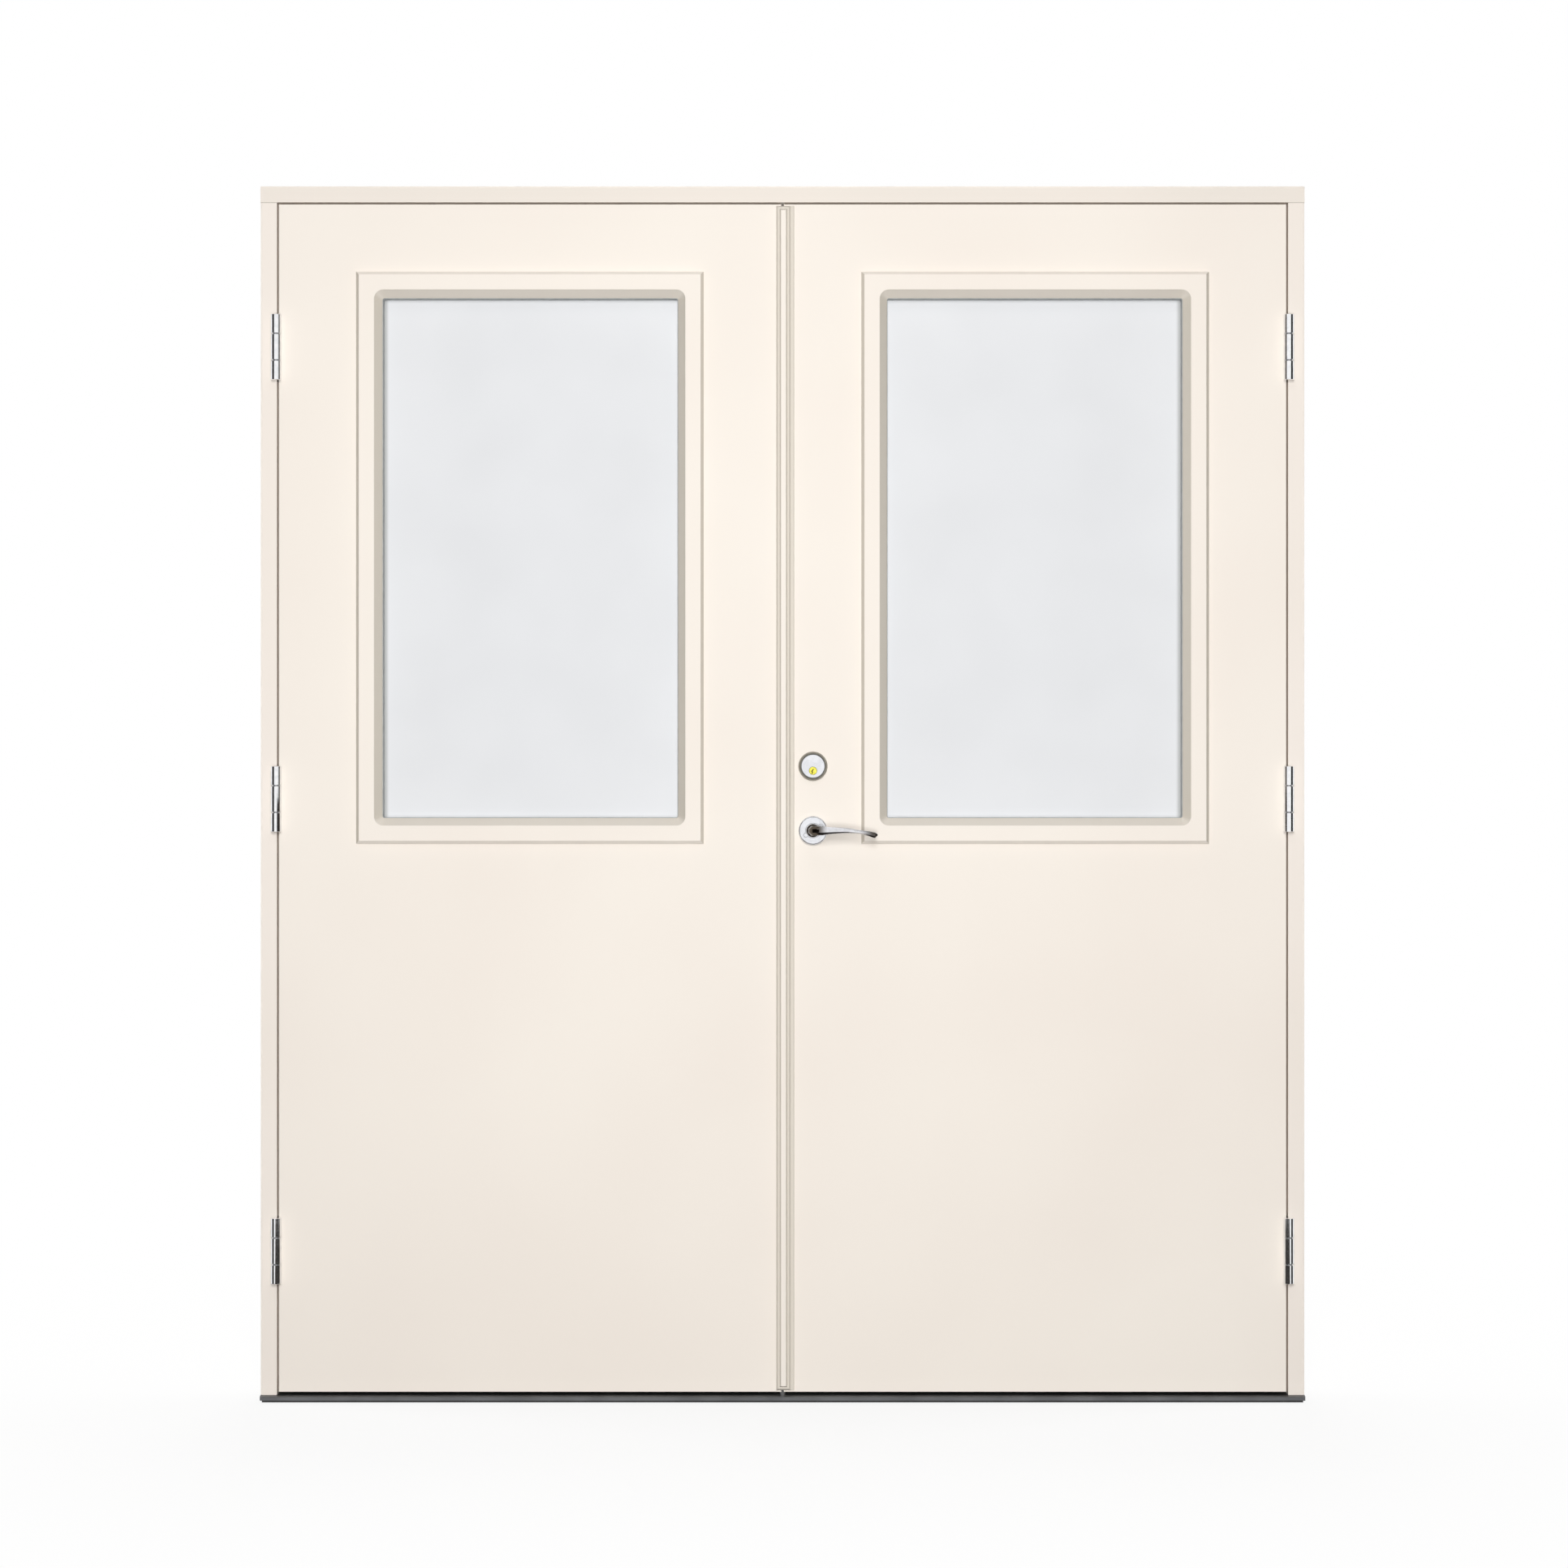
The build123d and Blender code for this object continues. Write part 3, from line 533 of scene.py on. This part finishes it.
# lock and roses: profiles are (radius, height off the leaf), turned round the axis of each
lock = {
    "x": 52.0, "leverZ": 978.0, "cylinderZ": 1088.0, "leafFront": -51.5, "leafBack": 10.5,
    "steps": 96, "sharp": 25,
    "ring": [(20.3, 0), (25, 0), (24.9, 2.4), (24.5, 5.2), (23.6, 8.2), (22.6, 10.2),
             (21.6, 10.9), (21.0, 11.0), (20.5, 10.6), (20.3, 9.6)],
    "cylinder": [(0, -62), (11.7, -62), (11.7, 0), (20, 0), (20, 8.4), (19.6, 8.9), (19.0, 9.0),
                 (0, 9.0)],
    "plugDrop": 7.8, "plug": [(0, 0), (6.8, 0), (6.8, 9.1), (6.3, 9.6), (0, 9.6)],
    "plugBore": [(0, 0.5), (7.1, 0.5), (7.1, 12), (0, 12)],
    # the bent key slot: middle, lean and length of each stroke
    "keyway": (((-0.2, 1.2), 30, 3.6), ((-1.6, -1.2), -38, 3.0), ((-1.1, -3.8), 12, 3.4)),
    "keywayWidth": 1.5, "keywayMiddle": 8, "keywayDepth": 10,
    "rose": [(8.8, 0), (24.5, 0), (24.5, 7.3), (24.3, 7.6), (23.9, 7.6), (22.9, 8.8),
             (22.5, 9.0), (13.0, 9.0), (12.6, 8.7), (8.8, 8.7)],
    "turnRose": [(0, 0), (24.5, 0), (24.5, 6.3), (24.3, 6.6), (23.9, 6.6), (22.9, 7.8),
                 (22.5, 8.0), (0, 8.0)],
    "boltPlaces": ((-12.2, -7.6), (13.0, 7.2)), "boltSteps": 40,
    "boltHole": [(0, 5), (4.5, 5), (4.5, 12), (0, 12)],
    "bolt": [(0, 6), (3.75, 6), (3.75, 8.4), (3.3, 8.95), (0, 8.95)],
}


def outwardOf(face, z, dx=0.0, dz=0.0):
    # frame whose +Z leaves the leaf at the lock's height, X and Y as seen by someone facing it
    outside = face == "outer"
    across, out = Vector((1, 0, 0)), Vector((0, -1, 0))
    if not outside:
        across, out = -across, -out
    turned = Matrix((across, (0, 0, 1), out)).transposed().to_4x4()
    spot = (lock["x"], lock["leafFront"] if outside else lock["leafBack"], z)
    return Matrix.Translation(spot) @ turned @ Matrix.Translation((dx, dz, 0))


def carve(piece, cutter):
    # takes the cutter's shape out of the piece
    mergeFans(cutter)
    bmesh.ops.scale(cutter, vec=(0.001, 0.001, 0.001), verts=cutter.verts)
    bmesh.ops.recalc_face_normals(cutter, faces=cutter.faces)
    mesh = newMesh(cutter, "cutter")
    tool = newObject("cutter", mesh)
    cut = piece.modifiers.new("cut", "BOOLEAN")
    cut.object = tool
    cut.solver = "EXACT"
    old = piece.data
    depsgraph = bpy.context.evaluated_depsgraph_get()
    result = bpy.data.meshes.new_from_object(piece.evaluated_get(depsgraph))
    piece.modifiers.clear()
    piece.data = result
    bpy.data.meshes.remove(old)
    result.name = piece.name
    softShade(result, lock["sharp"])
    bpy.data.objects.remove(tool)
    bpy.data.meshes.remove(mesh)


def turnedPiece(name, profile, place, material, replaced, closed=False):
    bm = bmesh.new()
    turn(bm, profile, place, lock["steps"], closed)
    mergeFans(bm)
    return makePiece(bm, name, material, "right_leaf", [replaced], lock["sharp"])


cylinderPlace = outwardOf("outer", lock["cylinderZ"])
turnedPiece(
    "cylinder-ring", lock["ring"], cylinderPlace, ringMetal, "cylinder_ring", True
)
cylinder = turnedPiece(
    "key-cylinder", lock["cylinder"], cylinderPlace, satinChrome, "lock_cylinder"
)
plugPlace = outwardOf("outer", lock["cylinderZ"], 0, -lock["plugDrop"])
bm = bmesh.new()
turn(bm, lock["plugBore"], plugPlace)
carve(cylinder, bm)
plug = turnedPiece("key-plug", lock["plug"], plugPlace, brass, "cylinder_plug")
for (dx, dz), lean, length in lock["keyway"]:
    # one cut for each stroke, because cutters that overlap spoil the mesh
    bm = bmesh.new()
    stroke = Matrix.Translation((dx, dz, lock["keywayMiddle"]))
    spot = plugPlace @ stroke @ Matrix.Rotation(radians(-lean), 4, "Z")
    block(bm, (lock["keywayWidth"], length, lock["keywayDepth"]), spot)
    carve(plug, bm)

for face in ("outer", "inner"):
    rosePlace = outwardOf(face, lock["leverZ"])
    rose = turnedPiece(
        f"{face}-rose", lock["rose"], rosePlace, satinChrome, f"{face}_rose", True
    )
    bolts = bmesh.new()
    for dx, dz in lock["boltPlaces"]:
        boltPlace = outwardOf(face, lock["leverZ"], dx, dz)
        bm = bmesh.new()
        turn(bm, lock["boltHole"], boltPlace)
        carve(rose, bm)
        turn(bolts, lock["bolt"], boltPlace, lock["boltSteps"])
    makePiece(
        bolts, f"{face}-rose-bolts", satinChrome, "right_leaf",
        sharp=lock["sharp"],
    )
turnPlace = outwardOf("inner", lock["cylinderZ"])
turnedPiece("turn-rose", lock["turnRose"], turnPlace, satinChrome, "turn_rose")
print("lock done")

# lever handles: an eight-sided bar that leaves the rose, bends and runs out to a pointed tip
lever = {
    "grip": 52.0, "barSides": 8, "neckStart": 9.6, "neckEnd": 20.5, "neckWidth": 17.0,
    "neckTaper": 0.98, "bendRadius": 16.0, "bendSteps": 5, "bendHeight": 15.0,
    "bendDepth": 14.0, "bendRise": 0.3, "crease": 0.82, "endCrease": 0.95,
    "smoothing": 2, "sharp": 40,
    # reach from the spindle, height, depth, rise of the middle
    "sections": ((24, 13.4, 12.8, 0.5), (34, 11.8, 11.4, 0.6), (52, 9.9, 10, 0.8),
                 (62, 8.6, 9.2, 0.1), (70.7, 7.6, 8.6, -1.0), (78, 7.0, 8.2, -1.8),
                 (84.3, 6.8, 8, -2.6), (95.4, 8.4, 8.2, -4.9), (103.0, 9.8, 8.6, -7.0),
                 (105.0, 9.6, 8.2, -7.2), (109.4, 1.2, 2.6, -6.6)),
    "collar": [(8.0, 9.3), (11.0, 9.3), (11.5, 9.8), (11.5, 15.2), (11.1, 17.0), (10.2, 18.6),
               (9.0, 19.3), (8.0, 19.3)],
    "neck": [(0, 0), (8.5, 0), (8.5, 12), (0, 12)], "neckSteps": 48,
    # where the painted reflection darkens the plating: start and end across the leaf, share at
    # each, tone
    "paintedReflection": {"bend": (60, 78, 1.0, 0.0, "5E5750"), "tip": (130, 154, 0.0, 1.0, "57524E")},
}


def leverStations():
    # places along the bar: local X runs along it, Y across and Z up, scaled to its size there
    grip, r, wide = lever["grip"], lever["bendRadius"], lever["neckWidth"]
    narrow = wide * lever["neckTaper"]
    stops = [(0, lever["neckStart"], -90, wide, wide, 0), (0, lever["neckEnd"], -90, wide, wide, 0),
             (0, grip - r, -90, narrow, narrow, 0)]
    for step in range(1, lever["bendSteps"] + 1):
        share = step / lever["bendSteps"]
        angle = radians(90 * share)
        stops.append((
            r - r * cos(angle), grip - r + r * cos(pi / 2 - angle), -90 + 90 * share,
            wide + share * (lever["bendDepth"] - wide),
            wide + share * (lever["bendHeight"] - wide), lever["bendRise"] * share,
        ))
    stops += [(reach, grip, 0, depth, high, rise) for reach, high, depth, rise in lever["sections"]]
    for x, out, turned, deep, high, rise in stops:
        spot = Matrix.Translation((lock["x"] + x, lock["leafFront"] - out, lock["leverZ"] + rise))
        yield spot @ Matrix.Rotation(radians(turned), 4, "Z") @ Matrix.Diagonal((1, deep, high, 1))


# painted shade and reflection: the lever's chrome is a darker copy of the plain chrome, and is
# painted smoky brown at the bend and at the tip, where its mirror looks past the lit side of the
# room
leverChrome = newMaterial("polished chrome, lever, painted reflection", {
    "tones": ("DADADD", "E6E6E9"), "cloud": 9, "grain": 0.6, "drawn": (9, 1, 1),
    "gloss": (0.06, 0.11), "relief": 0.004, "edge": 0.3, "shader": {"Metallic": 1.0},
})
tree = leverChrome.node_tree
for start, end, first, last, tone in lever["paintedReflection"].values():
    paintedReflection = addNode(
        tree, "ShaderNodeMapRange",
        {"interpolation_type": "SMOOTHSTEP", 1: start / 1000, 2: end / 1000, 3: first, 4: last},
        {0: objectAxes(tree)["X"]},
    )
    # painted reflection: a smoky brown laid over the plating
    tint(leverChrome, paintedReflection.outputs[0], tone)

stations = list(leverStations())
halfSide = pi / lever["barSides"]
upright = Matrix.Rotation(radians(90), 4, "Y") @ Matrix.Rotation(halfSide, 4, "Z")
for face in ("outer", "inner"):
    bm = bmesh.new()
    crease = bm.edges.layers.float.new("crease_edge")
    bmesh.ops.create_circle(
        bm, cap_ends=True, segments=lever["barSides"], radius=0.5 / cos(halfSide),
        matrix=stations[0] @ upright,
    )
    start = cap = bm.faces[:]
    for last, station in zip(stations, stations[1:]):
        made = bmesh.ops.extrude_face_region(bm, geom=cap)["geom"]
        cap = [g for g in made if isinstance(g, bmesh.types.BMFace)]
        bmesh.ops.transform(bm, matrix=station @ last.inverted(), verts=onlyVerts(made))
        ring = set(onlyVerts(made))
        for e in bm.edges:
            if (e.verts[0] in ring) != (e.verts[1] in ring):
                e[crease] = lever["crease"]
    # the caps that the extrusion leaves inside the bar go, the two at its ends stay
    ends = [start[0], cap[0]]
    inside = [f for f in bm.faces if len(f.verts) == lever["barSides"] and f not in ends]
    bmesh.ops.delete(bm, geom=inside, context="FACES_ONLY")
    for f in ends:
        for e in f.edges:
            e[crease] = lever["endCrease"]
    place = outwardOf("outer", lock["leverZ"])
    turn(bm, lever["collar"], place, closed=True)
    turn(bm, lever["neck"], place, lever["neckSteps"])
    if face == "inner":
        # the inside handle mirrors the outside one through the middle of the leaf
        middle = (lock["leafFront"] + lock["leafBack"]) / 2
        flip = Matrix.Translation((0, 2 * middle, 0)) @ Matrix.Diagonal((1, -1, 1, 1))
        bmesh.ops.transform(bm, matrix=flip, verts=bm.verts)
    handle = makePiece(
        bm, f"{face}-lever-handle", leverChrome, "lever", [f"{face}_lever"],
        lever["sharp"],
    )
    smooth = handle.modifiers.new("smooth", "SUBSURF")
    smooth.levels = smooth.render_levels = lever["smoothing"]
print("levers done")

# grey rubber lining in the reveal between each bead and its pane
glazing = {
    "centreX": 431.75, "centreZ": 1444.3, "width": 506.0, "height": 889.8, "corner": 3.5,
    "cornerSteps": 5, "gap": 0.05, "lining": 0.8, "outer": (-45.6, -25.0), "inner": (4.6, -1.0),
}


def roundedLoop(bm, width, height, corner, place):
    # upright rectangle with round corners, left as a loop of edges
    before = set(bm.verts)
    size = Matrix.Diagonal((width, height, 1, 1))
    bmesh.ops.create_grid(bm, x_segments=1, y_segments=1, size=0.5, matrix=size)
    bmesh.ops.bevel(
        bm, geom=newVerts(bm, before), offset=corner, offset_type="OFFSET", affect="VERTICES",
        segments=glazing["cornerSteps"], profile=0.5, material=-1,
    )
    made = newVerts(bm, before)
    bmesh.ops.rotate(bm, cent=(0, 0, 0), matrix=Matrix.Rotation(radians(90), 3, "X"), verts=made)
    bmesh.ops.transform(bm, matrix=place, verts=made)
    own = set(made)
    filled = [f for f in bm.faces if f.verts[0] in own]
    edges = filled[0].edges[:]
    bmesh.ops.delete(bm, geom=filled, context="FACES_ONLY")
    return edges


for side, sign in sides:
    for face in ("outer", "inner"):
        bm = bmesh.new()
        start, end = glazing[face]
        place = Matrix.Translation((sign * glazing["centreX"], start, glazing["centreZ"]))
        loops = []
        for inset in (glazing["gap"], glazing["lining"]):
            wide, high = glazing["width"] - 2 * inset, glazing["height"] - 2 * inset
            loops += roundedLoop(bm, wide, high, glazing["corner"] - inset, place)
        bmesh.ops.bridge_loops(bm, edges=loops)
        made = bmesh.ops.extrude_face_region(bm, geom=bm.faces[:], use_keep_orig=True)["geom"]
        bmesh.ops.translate(bm, vec=(0, end - start, 0), verts=onlyVerts(made))
        name = f"{side}-{face}-glazing-lining"
        makePiece(bm, name, liningRubber, f"{side}_leaf")
print("glazing done")

# screws of the lock's edge plates, set on the leaning meeting faces: middle height and reach
plates = {
    "faceX": 3.5, "faceY": -20.5, "lean": (62.0, 3.0), "radius": 3.6, "proud": 0.05,
    "right": {"faceplate": (1008.0, 108.0)},
    "left": {"strike": (1008.0, 108.0), "low-bolt": (148.0, 88.0), "high-bolt": (1919.0, 88.0)},
}
for side, sign in sides:
    bm = bmesh.new()
    normal = Vector((-sign * plates["lean"][0], plates["lean"][1], 0)).normalized()
    for middle, reach in plates[side].values():
        for way in (-1, 1):
            point = Vector((sign * plates["faceX"], plates["faceY"], middle + way * reach))
            screwHead(bm, plates["radius"], facing(point + normal * plates["proud"], normal))
    makePiece(bm, f"{side}-edge-plate-screws", steel, f"{side}_leaf")

# low domed caps in the holes of the frame screws
caps = {
    "x": 864.5, "y": -12.0, "heights": (150.0, 738.3, 1326.7, 1915.0), "steps": 32,
    "profile": [(0, -1.5), (6.4, -1.5), (6.7, 0), (6.2, 0.45), (4.4, 0.8), (2.2, 0.95), (0, 1.0)],
}
for side, sign in sides:
    bm = bmesh.new()
    for z in caps["heights"]:
        spot = facing((sign * caps["x"], caps["y"], z), (-sign, 0, 0))
        turn(bm, caps["profile"], spot, caps["steps"])
    makePiece(bm, f"{side}-screw-caps", capPlastic, "frame")
print("small parts done")

# from here on lengths are in metres: the picture spans frameWidth at the door's front
view = {
    "x": 0.0025, "y": -5.5525, "z": 1.0576, "distance": 5.5, "frameWidth": 2.6808, "sensor": 36,
}
camera = newObject("camera", bpy.data.cameras.new("camera"))
camera.data.sensor_width = view["sensor"]
camera.data.lens = view["sensor"] * view["distance"] / view["frameWidth"]
camera.location = (view["x"], view["y"], view["z"])
camera.rotation_euler = (radians(90), 0, 0)
scene.camera = camera
scene.view_settings.view_transform = "Standard"

# a tall narrow lamp in front keeps upright edges crisp, a small one above lights the ledges;
# the rest stand behind the door's front, for its sides, top and back
lamps = {
    "key": {"size": (0.6, 4.4), "place": (0, -5.4, 0.95), "power": 396},
    "top": {"size": (1.6, 0.8), "place": (0, -2.6, 3.9), "power": 9},
    "back": {"size": (2.6, 3.4), "place": (0, 4.8, 1.6), "power": 168},
    "left": {"size": (1.4, 2.6), "place": (-4.4, 0.9, 1.3), "power": 105},
    "right": {"size": (1.4, 2.6), "place": (4.4, 0.9, 1.3), "power": 105},
    "over": {"size": (2.4, 0.8), "place": (0, 0.8, 4.4), "power": 55},
}
doorMiddle = Vector((0, 0, 1.04))
for name, lamp in lamps.items():
    data = bpy.data.lights.new(name, "AREA")
    data.shape = "RECTANGLE"
    data.size, data.size_y = lamp["size"]
    data.energy = lamp["power"]
    softBox = newObject(name, data)
    softBox.location = lamp["place"]
    softBox.rotation_euler = (doorMiddle - softBox.location).to_track_quat("-Z", "Y").to_euler()
    # metal sees the white room and the cards, not the lamp
    softBox.visible_camera = softBox.visible_glossy = False

room = {
    "ambient": 0.06, "floorRadius": 9, "floorSides": 96, "fadeStart": 0.2, "fadeEnd": 2.6,
    "floorGlow": 0.85, "floorTone": "F4F4F3",
}
world = bpy.data.worlds.new("studio")
scene.world = world
tree = emptyTree(world)


def seenDirectly(tree):
    # 1 for camera, glossy and transmission rays
    path = addNode(tree, "ShaderNodeLightPath")
    either = addNode(
        tree, "ShaderNodeMath", {"operation": "MAXIMUM"},
        {0: path.outputs["Is Camera Ray"], 1: path.outputs["Is Glossy Ray"]},
    )
    return addNode(
        tree, "ShaderNodeMath", {"operation": "MAXIMUM"},
        {0: either.outputs[0], 1: path.outputs["Is Transmission Ray"]},
    ).outputs[0]


ambient = addNode(
    tree, "ShaderNodeMapRange", {3: room["ambient"], 4: 1.0}, {0: seenDirectly(tree)}
)
background = addNode(
    tree, "ShaderNodeBackground", {"Color": (1, 1, 1, 1)}, {"Strength": ambient.outputs[0]}
)
addNode(tree, "ShaderNodeOutputWorld", links={"Surface": background.outputs[0]})

# pale floor that fades into the white background away from the door
bm = bmesh.new()
bmesh.ops.create_circle(
    bm, cap_ends=True, segments=room["floorSides"], radius=room["floorRadius"]
)
floor = newObject("floor", newMesh(bm, "floor"))
floorMaterial = bpy.data.materials.new("pale floor")
tree = emptyTree(floorMaterial)
matte = addNode(tree, "ShaderNodeBsdfDiffuse", {"Color": hexColour(room["floorTone"])})
glow = addNode(
    tree, "ShaderNodeEmission", {"Color": (1, 1, 1, 1)}, {"Strength": seenDirectly(tree)}
)
place = addNode(tree, "ShaderNodeTexCoord").outputs["Object"]
distance = addNode(tree, "ShaderNodeVectorMath", {"operation": "LENGTH"}, {0: place})
fade = addNode(
    tree, "ShaderNodeMapRange",
    {"interpolation_type": "SMOOTHSTEP", 1: room["fadeStart"], 2: room["fadeEnd"],
     3: room["floorGlow"]},
    {0: distance.outputs["Value"]},
)
blend = addNode(
    tree, "ShaderNodeMixShader", links={0: fade.outputs[0], 1: matte.outputs[0], 2: glow.outputs[0]}
)
addNode(tree, "ShaderNodeOutputMaterial", links={"Surface": blend.outputs[0]})
floor.data.materials.append(floorMaterial)

# cards round the door that only shiny metal sees:
# centre, half sizes, angle and axis it is turned by, tone
cards = {
    "left-card": ((-3.1, -1.55, 1.6), (1.8, 1.45), 90, "Y", "6A6460"),
    "right-card": ((3.1, -1.55, 1.6), (1.8, 1.45), 90, "Y", "8E8D8C"),
    "near-left-card": ((-1.3, -0.31, 1.05), (1.1, 0.24), 90, "Y", "2C2A2C"),
    "near-right-card": ((1.3, -0.31, 1.05), (1.1, 0.24), 90, "Y", "2C2A2C"),
    "handle-card": ((-0.42, -0.64, 0.955), (0.075, 0.5), 90, "Y", "35302E"),
    "upper-card": ((0, -1.8, 3.7), (3.0, 1.28), 51, "X", "2E2E30"),
    "lower-card": ((0, -1.233, 0.03), (1.2, 1.167), 0, "X", "3A3735"),
}
for name, (centre, (across, along), angle, axis, tone) in cards.items():
    turned = Matrix.Rotation(radians(angle), 4, axis)
    size = Matrix.Diagonal((across, along, 1, 1))
    bm = bmesh.new()
    bmesh.ops.create_grid(
        bm, x_segments=1, y_segments=1, size=1, matrix=Matrix.Translation(centre) @ turned @ size
    )
    card = newObject(name, newMesh(bm, name))
    paper = bpy.data.materials.new(name)
    tree = emptyTree(paper)
    shine = addNode(tree, "ShaderNodeEmission", {"Color": hexColour(tone), "Strength": 1.0})
    addNode(tree, "ShaderNodeOutputMaterial", links={"Surface": shine.outputs[0]})
    card.data.materials.append(paper)
    card.visible_camera = card.visible_diffuse = False
    card.visible_shadow = card.visible_transmission = False
print("studio done")
